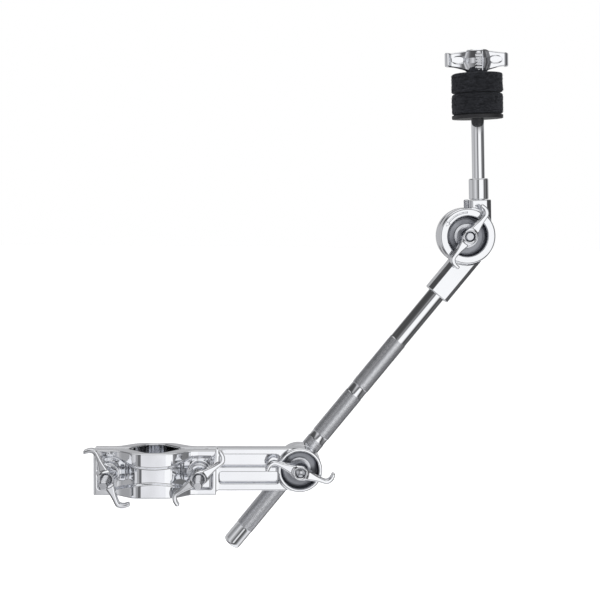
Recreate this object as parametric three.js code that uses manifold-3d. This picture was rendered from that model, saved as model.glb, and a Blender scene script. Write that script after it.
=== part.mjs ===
// Clamp-on cymbal boom arm: a two-jaw tube clamp on a cast arm, a swivel that grips a
// knurled boom rod, a friction tilter and a cymbal post with felts and a wing nut.
// Millimetres, +Z up, +X along the arm, the wing nuts of the clamp face -Y.
// The origin is on the axis of the clamped tube, at the middle of the jaws' height.
import * as THREE from "three";
import { mergeVertices } from "three/addons/utils/BufferGeometryUtils.js";
import Module from "manifold-3d";

const wasm = await Module();
wasm.setup();

const GAP = 0.3;

// Tube clamp and arm
const JAW_LEFT = -39;
const JAW_RIGHT = 40;
const JAW_HALF_HEIGHT = 14.7;
const JAW_CROWN_HALF_HEIGHT = 15.6;
const JAW_PARTING = 1.5;
const JAW_FLAT = 7.5;
const JAW_CROWN = 17.3;
const JAW_BOLT_X = 29;
const BOSS_FRONT = 9.5;
const ARM_FRONT = 1.5;
const ARM_BACK = 11;
const ARM_HALF_HEIGHT = 14;
const ARM_START = 36;
const POCKET_FLOOR = 7;
const PIVOT_X = 94.5;
const PAD_RADIUS = 14.7;
const PAD_FRONT = -1;
const DISH_RADIUS = 12.4;
const DISH_FLOOR = 6.7;

// Boom rod, in its own frame: z runs up the rod from the pivot
const ROD_PLANE = 25;
const ROD_ANGLE = 51.25;
const ROD_RADIUS = 6;
const KNURL_RADIUS = 6.3;
const ROD_LOW = -72;
const ROD_HIGH = 167.6;
const KNURL_BANDS = [[-57, 19.9], [23.9, 59.7], [65.8, 106.3]];
const SWIVEL_BACK = 22;
const EYE_HALF_LENGTH = 7.2;
const EYE_RADIUS = 10.2;

// Tilter
const TILTER_ALONG = 189;
const TILTER_ACROSS = -10.3;
const TILTER_RADIUS = 18.7;
const TILTER_DISH_RADIUS = 13.3;
const TILTER_FRONT = 15.5;
const TILTER_DISH_FLOOR = 22;
const HEAD_BACK = 24.9;
const SOCKET_FRONT = 26.5;
const SOCKET_BACK = 33.2;
const SOCKET_LOW = 146.5;
const SOCKET_HALF = 8.2;
const HEAD_LEAN = 2.4;

// Cymbal post, in the head's frame: z runs up the post from the tilter's axis
const POST_X = 9.6;
const POST_RADIUS = 4.2;
const POST_THREAD_RADIUS = 3.95;
const POST_TOP = 119;
const BLOCK_TOP = 23.7;
const COLLAR_RADIUS = 6.5;
const COLLAR_TOP = 37.8;
const SEAT_BOTTOM = 77.5;
const SEAT_TOP = 79.8;
const FELT_RADIUS = 16.8;
const LOWER_FELT = [80.1, 93.7];
const UPPER_FELT = [94.1, 107];
const CYMBAL_NUT_BASE = 107.4;

// Fasteners
const BOLT_RADIUS = 2.95;
const BOLT_HOLE = 3.3;
const WASHER_RADIUS = 6.4;

const CHROME = { color: 0xd9dbe0, metalness: 1, roughness: 0.12 };
const CAST_CHROME = { color: 0xd4d6dc, metalness: 1, roughness: 0.16 };
const ZINC = { color: 0xb9bcc4, metalness: 1, roughness: 0.3 };
const FELT = { color: 0x1b1c1f, metalness: 0, roughness: 1 };
const BLACK_PLASTIC = { color: 0x121214, metalness: 0, roughness: 0.45 };

// Facets round a large disc, a rod and a small fastener
const BIG = 40;
const MID = 24;
const SMALL = 16;

const rad = THREE.MathUtils.degToRad;

// ---------- solids ----------

function toSolid(geometry) {
  const bare = new THREE.BufferGeometry();
  const source = geometry.index ? geometry.toNonIndexed() : geometry;
  bare.setAttribute("position", source.getAttribute("position"));
  const merged = mergeVertices(bare, 1e-4);
  return new wasm.Manifold(
    new wasm.Mesh({
      numProp: 3,
      vertProperties: new Float32Array(merged.attributes.position.array),
      triVerts: new Uint32Array(merged.index.array),
    }),
  );
}

function toGeometry(solid) {
  const mesh = solid.getMesh();
  const geometry = new THREE.BufferGeometry();
  geometry.setAttribute("position", new THREE.BufferAttribute(mesh.vertProperties, 3));
  geometry.setIndex(new THREE.BufferAttribute(mesh.triVerts, 1));
  const flat = geometry.toNonIndexed();
  flat.computeVertexNormals();
  return flat;
}

// A solid of revolution about +Z from a closed profile of [radius, z], bottom to top.
function turned(profile, segments) {
  const points = profile.map(([r, z]) => new THREE.Vector2(r, z));
  return new THREE.LatheGeometry(points, segments).rotateX(Math.PI / 2);
}

function disc(radius, low, high, segments, edge = 0) {
  return turned(
    [[0, low], [radius - edge, low], [radius, low + edge], [radius, high - edge],
      [radius - edge, high], [0, high]],
    segments,
  );
}

function ring(outer, inner, low, high, segments, edge = 0) {
  return turned(
    [[inner, low], [outer - edge, low], [outer, low + edge], [outer, high - edge],
      [outer - edge, high], [inner, high], [inner, low]],
    segments,
  );
}

// Turns a shape that stands along +Z so that it stands along -Y.
function facingFront(geometry) {
  return geometry.rotateX(Math.PI / 2);
}

// A cylinder whose axis is along Y, at x and z.
function crossPin(radius, yLow, yHigh, x, z, segments) {
  return facingFront(disc(radius, -yHigh, -yLow, segments)).translate(x, 0, z);
}

// An outline from [u, v, corner radius] points.
function outline(points) {
  const shape = new THREE.Shape();
  const at = points.map(([u, v]) => new THREE.Vector2(u, v));
  points.forEach(([, , radius = 0], i) => {
    const here = at[i];
    const before = at[(i + at.length - 1) % at.length];
    const after = at[(i + 1) % at.length];
    const back = before.clone().sub(here).normalize();
    const on = after.clone().sub(here).normalize();
    const start = here.clone().addScaledVector(back, radius);
    const end = here.clone().addScaledVector(on, radius);
    if (i === 0) shape.moveTo(start.x, start.y);
    else shape.lineTo(start.x, start.y);
    if (radius > 0) shape.quadraticCurveTo(here.x, here.y, end.x, end.y);
  });
  shape.closePath();
  return shape;
}

// An outline in X and Y, extruded up from zLow to zHigh.
function prismZ(points, zLow, zHigh, curveSegments = 2) {
  return new THREE.ExtrudeGeometry(outline(points), {
    depth: zHigh - zLow,
    bevelEnabled: false,
    curveSegments,
  }).translate(0, 0, zLow);
}

// An outline in X and Z, extruded from yLow to yHigh.
function prismY(points, yLow, yHigh, curveSegments = 2) {
  return new THREE.ExtrudeGeometry(outline(points), {
    depth: yHigh - yLow,
    bevelEnabled: false,
    curveSegments,
  }).rotateX(Math.PI / 2).translate(0, yHigh, 0);
}

function box(xLow, xHigh, yLow, yHigh, zLow, zHigh) {
  return new THREE.BoxGeometry(xHigh - xLow, yHigh - yLow, zHigh - zLow).translate(
    (xLow + xHigh) / 2,
    (yLow + yHigh) / 2,
    (zLow + zHigh) / 2,
  );
}

// The first solid, joined to each solid of adds, with each solid of cuts taken away.
function carve(base, adds, cuts) {
  const whole = adds.reduce((sum, part) => sum.add(toSolid(part)), toSolid(base));
  return cuts.reduce((sum, part) => sum.subtract(toSolid(part)), whole);
}

function mesh(name, geometry, look) {
  const made = new THREE.Mesh(geometry, new THREE.MeshStandardMaterial(look));
  made.name = name;
  return made;
}

// ---------- tube clamp and arm ----------

// One jaw seen from above; side is -1 for the front jaw and 1 for the rear one.
function jawOutline(side) {
  const half = [
    [JAW_LEFT, JAW_PARTING, 0.3], [-17, JAW_PARTING, 2], [-4.5, 14, 3],
    [4.5, 14, 3], [17, JAW_PARTING, 2], [JAW_RIGHT, JAW_PARTING, 0.3],
    [JAW_RIGHT, JAW_FLAT, 1.2], [25, JAW_FLAT, 4], [12, JAW_CROWN, 5],
    [-12, JAW_CROWN, 5], [-25, JAW_FLAT, 4], [JAW_LEFT, JAW_FLAT, 1.2],
  ];
  const placed = half.map(([x, y, r]) => [x, side * y, r]);
  return side > 0 ? placed : placed.reverse();
}

// The jaws' face outline: level over the flats, a little taller over the crown.
function jawFace() {
  const top = [];
  for (let i = 0; i <= 12; i += 1) {
    const x = 25 - (50 * i) / 12;
    const rise = 0.5 + 0.5 * Math.cos((Math.PI * x) / 25);
    top.push([x, JAW_HALF_HEIGHT + rise * (JAW_CROWN_HALF_HEIGHT - JAW_HALF_HEIGHT)]);
  }
  const bottom = top.map(([x, z]) => [x, -z]).reverse();
  return [
    [JAW_RIGHT + 1, -JAW_HALF_HEIGHT], [JAW_RIGHT + 1, JAW_HALF_HEIGHT], ...top,
    [JAW_LEFT - 1, JAW_HALF_HEIGHT], [JAW_LEFT - 1, -JAW_HALF_HEIGHT], ...bottom,
  ];
}

// The hourglass recess in the front jaw's face.
const HOURGLASS = [
  [JAW_LEFT + 3, -10.6, 2], [-25, -10.6, 2], [-12, -6, 3], [0, -4.8, 4], [12, -6, 3],
  [25, -10.6, 2], [JAW_RIGHT - 3, -10.6, 2], [JAW_RIGHT - 3, 10.6, 2], [25, 10.6, 2],
  [12, 6, 3], [0, 4.8, 4], [-12, 6, 3], [-25, 10.6, 2], [JAW_LEFT + 3, 10.6, 2],
];

function frontJaw() {
  const slab = toSolid(prismZ(jawOutline(-1), -18, 18));
  const body = slab.intersect(toSolid(prismY(jawFace(), -30, 5)));
  const wall = prismZ(
    [[JAW_LEFT, 5], [JAW_LEFT, -5], [-24.2, -5, 4], [-11.4, -15.9, 5], [11.4, -15.9, 5],
      [24.2, -5, 4], [JAW_RIGHT, -5], [JAW_RIGHT, 5]],
    -18,
    18,
  );
  const recess = toSolid(prismY(HOURGLASS, -30, 2)).subtract(toSolid(wall));
  let jaw = body.subtract(recess);
  for (const x of [-JAW_BOLT_X, JAW_BOLT_X]) {
    jaw = jaw.add(toSolid(crossPin(6.9, -BOSS_FRONT, -4, x, 0, MID)));
  }
  for (const x of [-JAW_BOLT_X, JAW_BOLT_X]) {
    jaw = jaw.subtract(toSolid(crossPin(BOLT_HOLE, -12, 0, x, 0, SMALL)));
  }
  return toGeometry(jaw);
}

function rearJaw() {
  const slab = toSolid(prismZ(jawOutline(1), -18, 18));
  return slab.intersect(toSolid(prismY(jawFace(), -5, 30)));
}

// The round pad at the arm's end, a dished disc about the pivot.
function padSolid() {
  const profile = [
    [0, -ARM_BACK], [PAD_RADIUS - 0.6, -ARM_BACK], [PAD_RADIUS, -ARM_BACK + 0.6],
    [PAD_RADIUS, -PAD_FRONT - 0.9], [PAD_RADIUS - 0.9, -PAD_FRONT], [0, -PAD_FRONT],
  ];
  return facingFront(turned(profile, BIG)).translate(PIVOT_X, 0, 0);
}

// The hollow of a dish, open to the front, with a rounded foot.
function dishHollow(radius, floor, front) {
  return facingFront(turned(
    [[0, -floor], [radius - 2, -floor], [radius - 0.6, -floor + 0.6], [radius, -floor + 2],
      [radius, -front - 0.5], [radius + 0.8, -front + 0.5], [0, -front + 0.5]],
    BIG,
  ));
}

function clampArm() {
  const web = box(ARM_START, PIVOT_X, ARM_FRONT, ARM_BACK, -ARM_HALF_HEIGHT, ARM_HALF_HEIGHT);
  let arm = rearJaw().add(toSolid(web)).add(toSolid(padSolid()));
  for (const [low, high] of [[1.6, 10.2], [-9.4, -1.4]]) {
    const pocket = [[42, low, 2], [81, low, 2], [81, high, 2], [42, high, 2]];
    arm = arm.subtract(toSolid(prismY(pocket, ARM_FRONT - 1, POCKET_FLOOR)));
  }
  const dish = dishHollow(DISH_RADIUS, DISH_FLOOR, PAD_FRONT).translate(PIVOT_X, 0, 0);
  arm = arm.subtract(toSolid(dish));
  arm = arm.subtract(toSolid(crossPin(BOLT_HOLE, 0, 14, PIVOT_X, 0, SMALL)));
  for (const x of [-JAW_BOLT_X, JAW_BOLT_X]) {
    arm = arm.subtract(toSolid(crossPin(BOLT_HOLE, 0, 14, x, 0, SMALL)));
    arm = arm.subtract(toSolid(box(x - 3.4, x + 3.4, 3.9, 12, -3.4, 3.4)));
    arm = arm.subtract(toSolid(crossPin(6.9, JAW_FLAT, 24, x, 0, MID)));
  }
  return toGeometry(arm);
}

// A carriage bolt along Y: domed head behind, square neck, shank towards the front.
function carriageBolt(headBack, headFront, neckFront, tip) {
  const dome = [[0, -headBack]];
  for (let i = 1; i <= 6; i += 1) {
    const a = (i / 6) * (Math.PI / 2);
    dome.push([6.4 * Math.sin(a), -headFront - (headBack - headFront) * Math.cos(a) * 0.8]);
  }
  dome.push([6.4, -headFront], [0, -headFront]);
  const shank = turned(
    [[0, -headFront - 0.5], [BOLT_RADIUS, -headFront - 0.5], [BOLT_RADIUS, -tip - 0.8],
      [BOLT_RADIUS - 0.8, -tip], [0, -tip]],
    SMALL,
  );
  const neck = box(-3.1, 3.1, neckFront, headFront + 0.5, -3.1, 3.1);
  return toGeometry(carve(facingFront(turned(dome, MID)), [facingFront(shank), neck], []));
}

// ---------- wing nuts ----------

// A wing nut standing along +Z on its base, wings along X, each wing's end hooked
// round anticlockwise seen from its top. size holds the hub's and the wings' dimensions.
function wingNut(size, turn) {
  const { bore, foot, waist, tip, height, end, root, reach } = size;
  const hub = turned(
    [[0, 0], [foot - 0.4, 0], [foot, 0.4], [waist, height * 0.4], [waist - 0.3, height * 0.62],
      [tip + 0.5, height - 0.5], [tip, height], [0, height]],
    MID,
  );
  const plan = [
    [-0.01, 3.4], [5, 3.2, 1], [12, 1.7, 2], [17.6, 1.35, 1.5], [19.3, 3.6, 1], [19.6, 7.4, 0.9],
    [22, 7.1, 1], [21.9, 2.2, 1.8], [19.4, -1.3, 2], [12, -1.7, 2], [5, -3.2, 1], [-0.01, -3.4],
  ];
  const side = [
    [-0.02, root[0]], [5, root[0], 1], [reach, end[0], 2], [23, end[0]], [23, end[1]], [18, end[1], 2],
    [5, root[1], 1], [-0.02, root[1]],
  ];
  const wing = toSolid(prismZ(plan, -1, height + 2)).intersect(toSolid(prismY(side, -12, 12)));
  const other = wing.rotate([0, 0, 180]);
  const hole = disc(bore, -1, height + 1, SMALL);
  const mouth = turned([[0, height - 0.9], [bore, height - 0.9], [bore + 1, height + 0.1],
    [0, height + 0.1]], SMALL);
  let nut = toSolid(hub).add(wing).add(other);
  nut = nut.subtract(toSolid(hole)).subtract(toSolid(mouth));
  return toGeometry(nut).rotateZ(rad(turn));
}

const BOLT_NUT = {
  bore: BOLT_HOLE,
  foot: 6.2,
  waist: 6,
  tip: 4.5,
  height: 14.2,
  end: [6.8, 12.4],
  root: [2.4, 12.9],
  reach: 11,
};

const CYMBAL_NUT = {
  bore: 4.3,
  foot: 6.4,
  waist: 7.9,
  tip: 6.3,
  height: 15,
  end: [4, 13],
  root: [1, 14.6],
  reach: 16,
};

function frontWingNut(name, x, z, base, turn) {
  const nut = mesh(name, facingFront(wingNut(BOLT_NUT, turn)), CAST_CHROME);
  nut.position.set(x, base, z);
  return nut;
}

function frontWasher(name, x, z, low, high, radius) {
  const washer = facingFront(ring(radius, BOLT_HOLE, -high, -low, MID, 0.2));
  const made = mesh(name, washer, ZINC);
  made.position.set(x, 0, z);
  return made;
}

// ---------- swivel ----------

// The disc behind the arm's pad, with a trough for the rod and a well for the eye.
function swivelDisc() {
  const body = facingFront(disc(PAD_RADIUS, -SWIVEL_BACK, -ARM_BACK - GAP, BIG, 0.7));
  const trough = disc(KNURL_RADIUS + 0.4, -20, 20, MID);
  const well = box(-EYE_RADIUS - 0.6, EYE_RADIUS + 0.6, -ROD_PLANE + 13.2, 0, -7.7, 7.7);
  const along = [trough, well].map((cut) =>
    cut.rotateY(rad(90 - ROD_ANGLE)).translate(0, ROD_PLANE, 0),
  );
  return toGeometry(carve(body, [], [...along, crossPin(BOLT_HOLE, 5, 30, 0, 0, SMALL)]));
}

// The eye round the rod and the threaded stem that runs to the front.
function eyeBolt() {
  const tilt = rad(90 - ROD_ANGLE);
  const eye = disc(EYE_RADIUS, -EYE_HALF_LENGTH, EYE_HALF_LENGTH, MID, 1.2)
    .rotateY(tilt).translate(0, ROD_PLANE, 0);
  const hole = disc(KNURL_RADIUS + 0.35, -12, 12, MID).rotateY(tilt).translate(0, ROD_PLANE, 0);
  const stem = facingFront(turned(
    [[0, -17.6], [BOLT_RADIUS, -17.6], [BOLT_RADIUS, 7.2], [BOLT_RADIUS - 0.8, 8], [0, 8]],
    SMALL,
  ));
  return toGeometry(carve(eye, [stem], [hole]));
}

// ---------- boom rod ----------

function boomRod() {
  const profile = [[0, ROD_LOW], [ROD_RADIUS - 1.6, ROD_LOW], [ROD_RADIUS - 0.4, ROD_LOW + 0.9],
    [ROD_RADIUS, ROD_LOW + 2.4]];
  for (const [low, high] of KNURL_BANDS) {
    profile.push([ROD_RADIUS, low - 0.3], [KNURL_RADIUS, low], [KNURL_RADIUS, high],
      [ROD_RADIUS, high + 0.3]);
  }
  profile.push([ROD_RADIUS, ROD_HIGH - 0.8], [ROD_RADIUS - 0.8, ROD_HIGH], [0, ROD_HIGH]);
  return turned(profile, MID);
}

// ---------- tilter ----------

// The lower half: a disc behind, and the block that takes the rod's top.
function tilterSocket() {
  const plate = facingFront(disc(TILTER_RADIUS, -SOCKET_BACK, -SOCKET_FRONT, BIG, 0.8));
  plate.translate(TILTER_ACROSS, 0, TILTER_ALONG);
  const front = ROD_PLANE - 8;
  const section = [
    [-SOCKET_HALF, front, 2.6], [SOCKET_HALF, front, 2.6], [SOCKET_HALF, SOCKET_BACK, 2.6],
    [-SOCKET_HALF, SOCKET_BACK, 2.6],
  ];
  const block = prismZ(section, SOCKET_LOW, TILTER_ALONG, 3);
  const bore = disc(KNURL_RADIUS, SOCKET_LOW - 1, 168, MID).translate(0, ROD_PLANE, 0);
  const clear = crossPin(TILTER_RADIUS + 0.6, 0, SOCKET_FRONT, TILTER_ACROSS, TILTER_ALONG, BIG);
  const hole = crossPin(BOLT_HOLE, 20, 40, TILTER_ACROSS, TILTER_ALONG, SMALL);
  const square = box(-3.4, 3.4, 29.4, 40, -3.4, 3.4).translate(TILTER_ACROSS, 0, TILTER_ALONG);
  const screwHole = crossPin(2.8, 29, 40, 0, SOCKET_LOW + 9, SMALL);
  return toGeometry(carve(block, [plate], [bore, clear, hole, square, screwHole]));
}

// The hexagon-socket screw that locks the rod in the block, flush with its back.
function socketSetScrew() {
  const body = facingFront(disc(2.5, -SOCKET_BACK + 0.4, -ROD_PLANE - 6.4, SMALL, 0.3));
  const key = facingFront(disc(1.4, -SOCKET_BACK - 1, -SOCKET_BACK + 2.6, 6));
  return toGeometry(carve(body, [], [key]));
}

// The upper half: a dished disc in front, and the block that takes the cymbal post.
function tilterHead() {
  const plate = facingFront(disc(TILTER_RADIUS, -HEAD_BACK, -TILTER_FRONT, BIG, 0.9));
  const section = [
    [2.6, 17, 1], [17, 17, 3.6], [17, 31, 1.6], [2.6, 31, 1.6],
  ];
  const block = prismZ(section, 2, BLOCK_TOP, 3);
  const clear = crossPin(TILTER_RADIUS + 0.6, HEAD_BACK, 40, 0, 0, BIG);
  const below = box(-30, 30, HEAD_BACK, 40, -30, 0);
  const dish = dishHollow(TILTER_DISH_RADIUS, TILTER_DISH_FLOOR, TILTER_FRONT);
  const hole = crossPin(BOLT_HOLE, 10, 40, 0, 0, SMALL);
  const bore = disc(POST_RADIUS + GAP, 19, 30, MID).translate(POST_X, ROD_PLANE, 0);
  const tapped = disc(2.3, 14.8, 22, SMALL).translate(0.3, 20.2, 0);
  return toGeometry(carve(plate, [block], [clear, below, dish, hole, bore, tapped]));
}

// The small screw that stands in the head's rim beside the block.
function indexScrew() {
  const screw = turned(
    [[0, 15.2], [1.95, 15.2], [1.95, 23.6], [1.4, 24.2], [0, 24.2]],
    SMALL,
  ).translate(0.3, 20.2, 0);
  const slot = box(-2, 3, 19.8, 20.6, 23.2, 25);
  return toGeometry(carve(screw, [], [slot]));
}

// ---------- cymbal post ----------

function cymbalPost() {
  return turned(
    [[0, 19.3], [POST_RADIUS - 0.4, 19.3], [POST_RADIUS, 19.7], [POST_RADIUS, SEAT_BOTTOM - GAP],
      [POST_THREAD_RADIUS, SEAT_BOTTOM], [POST_THREAD_RADIUS, POST_TOP - 1],
      [POST_THREAD_RADIUS - 1, POST_TOP], [0, POST_TOP]],
    MID,
  );
}

function postCollar() {
  return ring(COLLAR_RADIUS, POST_RADIUS + GAP, BLOCK_TOP + GAP, COLLAR_TOP, MID, 0.5);
}

// A shallow cup, so that its rim stands a little lower than its middle.
function seatWasher() {
  return turned(
    [[POST_RADIUS + 0.1, SEAT_BOTTOM], [9, SEAT_BOTTOM], [16.2, SEAT_BOTTOM - 0.3],
      [16.7, SEAT_BOTTOM + 0.3], [16.7, SEAT_TOP - 0.5], [16.2, SEAT_TOP],
      [POST_RADIUS + 0.1, SEAT_TOP], [POST_RADIUS + 0.1, SEAT_BOTTOM]],
    BIG,
  );
}

// The plastic sleeve that keeps the cymbal off the thread, with a foot under the felt.
function postSleeve() {
  const low = LOWER_FELT[0];
  return turned(
    [[POST_RADIUS + 0.1, low], [10, low], [10, low + 1.2], [6.2, low + 1.2], [6.2, 105],
      [POST_RADIUS + 0.1, 105], [POST_RADIUS + 0.1, low]],
    MID,
  );
}

function felt(low, high, recess) {
  const inside = recess
    ? [[6.6, low + 1.6], [10.4, low + 1.6], [10.4, low]]
    : [[6.6, low]];
  return turned(
    [...inside, [FELT_RADIUS - 1.6, low], [FELT_RADIUS - 0.4, low + 0.5], [FELT_RADIUS, low + 1.6],
      [FELT_RADIUS, high - 1.6], [FELT_RADIUS - 0.4, high - 0.5], [FELT_RADIUS - 1.6, high],
      [6.6, high], inside[0]],
    MID,
  );
}

// ---------- assembly ----------

function clampGroup() {
  const group = new THREE.Group();
  group.add(mesh("clamp_arm", clampArm(), CAST_CHROME));
  group.add(mesh("front_jaw", frontJaw(), CAST_CHROME));
  const sides = [["left", -JAW_BOLT_X, 112], ["right", JAW_BOLT_X, 35]];
  for (const [side, x, turn] of sides) {
    const bolt = mesh("jaw_bolt_" + side, carriageBolt(11, JAW_FLAT + GAP, 4.2, -42), ZINC);
    bolt.position.x = x;
    group.add(bolt);
    group.add(frontWasher("jaw_washer_" + side, x, 0, -11, -9.8, WASHER_RADIUS));
    group.add(frontWingNut("jaw_wing_nut_" + side, x, 0, -11.3, turn));
  }
  return group;
}

function swivelGroup() {
  const group = new THREE.Group();
  group.position.x = PIVOT_X;
  group.add(mesh("swivel_disc", swivelDisc(), CAST_CHROME));
  group.add(mesh("eye_bolt", eyeBolt(), ZINC));
  group.add(frontWasher("pivot_washer", 0, 0, 5.2, 6.4, 7.5));
  group.add(frontWingNut("pivot_wing_nut", 0, 0, 4.9, 159));
  return group;
}

function headGroup() {
  const group = new THREE.Group();
  group.position.set(TILTER_ACROSS, 0, TILTER_ALONG);
  group.rotation.y = -rad(90 - ROD_ANGLE + HEAD_LEAN);
  group.add(mesh("tilter_head", tilterHead(), CAST_CHROME));
  group.add(mesh("index_screw", indexScrew(), ZINC));
  const post = new THREE.Group();
  post.position.set(POST_X, ROD_PLANE, 0);
  post.add(mesh("post_collar", postCollar(), CHROME));
  post.add(mesh("cymbal_post", cymbalPost(), CHROME));
  post.add(mesh("seat_washer", seatWasher(), BLACK_PLASTIC));
  post.add(mesh("post_sleeve", postSleeve(), BLACK_PLASTIC));
  post.add(mesh("lower_felt", felt(...LOWER_FELT, true), FELT));
  post.add(mesh("upper_felt", felt(...UPPER_FELT, false), FELT));
  const nut = mesh("cymbal_wing_nut", wingNut(CYMBAL_NUT, 0), CAST_CHROME);
  nut.position.z = CYMBAL_NUT_BASE;
  post.add(nut);
  group.add(post);
  return group;
}

function boomGroup() {
  const group = new THREE.Group();
  group.position.x = PIVOT_X;
  group.rotation.y = rad(90 - ROD_ANGLE);
  const rod = mesh("boom_rod", boomRod(), CHROME);
  rod.position.y = ROD_PLANE;
  group.add(rod);
  group.add(mesh("tilter_socket", tilterSocket(), CAST_CHROME));
  const screw = mesh("socket_set_screw", socketSetScrew(), ZINC);
  screw.position.z = SOCKET_LOW + 9;
  group.add(screw);
  const bolt = mesh("tilter_bolt", carriageBolt(37, SOCKET_BACK + GAP, 29.8, 7.4), ZINC);
  bolt.position.set(TILTER_ACROSS, 0, TILTER_ALONG);
  group.add(bolt);
  const pad = facingFront(ring(17, BOLT_HOLE + 0.2, -SOCKET_FRONT + GAP, -HEAD_BACK - GAP, BIG));
  const friction = mesh("tilter_friction_washer", pad, BLACK_PLASTIC);
  friction.position.set(TILTER_ACROSS, 0, TILTER_ALONG);
  group.add(friction);
  const [x, z] = [TILTER_ACROSS, TILTER_ALONG];
  group.add(frontWasher("tilter_washer", x, z, 20.5, 21.7, 8.2));
  const nut = frontWingNut("tilter_wing_nut", x, z, 20.2, 53 + 90 - ROD_ANGLE);
  group.add(nut);
  group.add(headGroup());
  return group;
}

const standArm = new THREE.Group();
standArm.add(clampGroup(), swivelGroup(), boomGroup());

export default standArm;
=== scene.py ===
import math

import bpy
import numpy as np
from mathutils import Matrix, Vector


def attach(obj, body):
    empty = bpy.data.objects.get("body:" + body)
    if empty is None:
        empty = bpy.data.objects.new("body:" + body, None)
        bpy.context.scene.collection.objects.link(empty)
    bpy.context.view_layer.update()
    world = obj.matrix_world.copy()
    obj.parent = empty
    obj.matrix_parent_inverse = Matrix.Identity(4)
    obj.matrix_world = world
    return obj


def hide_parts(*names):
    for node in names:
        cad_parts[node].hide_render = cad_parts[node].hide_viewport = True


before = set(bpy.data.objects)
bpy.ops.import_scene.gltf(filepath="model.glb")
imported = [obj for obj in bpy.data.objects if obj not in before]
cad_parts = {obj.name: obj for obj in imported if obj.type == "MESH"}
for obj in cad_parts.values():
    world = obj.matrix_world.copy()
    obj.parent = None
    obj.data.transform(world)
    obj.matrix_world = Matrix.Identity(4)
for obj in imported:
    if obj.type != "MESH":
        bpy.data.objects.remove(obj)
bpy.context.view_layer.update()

MM = 0.001

# ---------------------------------------------------------------- dimensions, mm
JAW_BOLT_X = 29.0
PIVOT_X = 94.5
ROD_PLANE = 25.0
ROD_ANGLE = 51.25
TILTER_ALONG = 189.0
TILTER_ACROSS = -10.3
HEAD_LEAN = 2.4
POST_X = 9.6
JAW_LEFT, JAW_RIGHT = -39.0, 40.0
JAW_HALF_HEIGHT = 14.7
JAW_PARTING, JAW_FLAT, JAW_CROWN = 1.5, 7.5, 17.3
JAW_GROOVE_FLOOR = 15.7
TUBE_FLOOR, TUBE_WALL = 14.0, 18.5
JAW_SLOPE_FOOT = 24.0
JAW_CROWN_HALF_WIDTH = 12.0
BOSS_RADIUS, BOSS_FRONT = 6.9, 9.5
ARM_FRONT, ARM_BACK = 1.5, 11.0
ARM_HALF_HEIGHT = 14.0
POCKETS = ((1.6, 10.2), (-9.4, -1.4))
POCKET_FLOOR = 7.0
PAD_RADIUS, PAD_FRONT = 14.7, -1.0
DISH_RADIUS, DISH_FLOOR = 12.4, 6.7
BOLT_RADIUS, BOLT_HOLE = 2.95, 3.3
BOLT_HEAD_RADIUS, SQUARE_HALF = 6.4, 3.4
JAW_NUT_BASE, PIVOT_NUT_BASE, TILTER_NUT_BASE = -11.3, 4.9, 20.2
SWIVEL_FRONT, SWIVEL_BACK = 11.3, 22.0
EYE_RADIUS, EYE_HALF_LENGTH, EYE_BORE = 10.2, 7.2, 6.65
ROD_RADIUS, ROD_LOW, ROD_HIGH = 6.0, -72.0, 167.6
TILTER_RADIUS, TILTER_CLEARANCE = 18.7, 19.3
TILTER_DISH_RADIUS, TILTER_DISH_FLOOR = 13.3, 22.0
HEAD_FRONT, HEAD_BACK, BLOCK_TOP = 15.5, 24.9, 23.7
SOCKET_FRONT, SOCKET_BACK, SOCKET_LOW = 26.5, 33.2, 146.5
SET_SCREW_ALONG = 155.5
ARROW_LINE_RADIUS, ARROW_HEAD_RADIUS = 15.7, 15.9
ARROW_LINE_HALF, ARROW_DEPTH = 0.36, 0.7
THREAD_PITCH, THREAD_DEPTH = 1.0, 0.42
SEAT_BOTTOM, SEAT_TOP = 77.5, 79.8
LOWER_FELT = (80.1, 93.7)
UPPER_FELT = (94.1, 107.0)
FELT_RADIUS, FELT_BORE, FELT_EDGE = 16.7, 6.6, 1.8
CYMBAL_NUT_BASE = 107.4
POST_TOP = 119.0
INDEX_SCREW = (0.3, 20.2)

# ---------------------------------------------------------------- placing frames
def turn_y(degrees):
    a = math.radians(degrees)
    return np.array([[math.cos(a), 0, math.sin(a)], [0, 1, 0], [-math.sin(a), 0, math.cos(a)]])


def turn_z(degrees):
    a = math.radians(degrees)
    return np.array([[math.cos(a), -math.sin(a), 0], [math.sin(a), math.cos(a), 0], [0, 0, 1]])


FRONTWARD = np.array([[1.0, 0, 0], [0, 0, -1.0], [0, 1.0, 0]])  # +Z of a piece turned to -Y


class Place:
    """Where a piece's own frame stands in the part's frame, in millimetres."""

    def __init__(self, turn=None, at=(0, 0, 0)):
        self.turn = np.eye(3) if turn is None else np.asarray(turn, float)
        self.at = np.asarray(at, float)

    def of(self, other):
        return Place(self.turn @ other.turn, self.turn @ other.at + self.at)

    def points(self, p):
        return p @ self.turn.T + self.at

    def normals(self, n):
        return n @ self.turn.T


WORLD = Place()
BOOM = Place(turn_y(90 - ROD_ANGLE), (PIVOT_X, 0, 0))
ROD = BOOM.of(Place(at=(0, ROD_PLANE, 0)))
TILTER = BOOM.of(Place(at=(TILTER_ACROSS, 0, TILTER_ALONG)))
HEAD = TILTER.of(Place(turn_y(-(90 - ROD_ANGLE + HEAD_LEAN))))
POST = HEAD.of(Place(at=(POST_X, ROD_PLANE, 0)))
SWIVEL = Place(at=(PIVOT_X, 0, 0))


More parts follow.
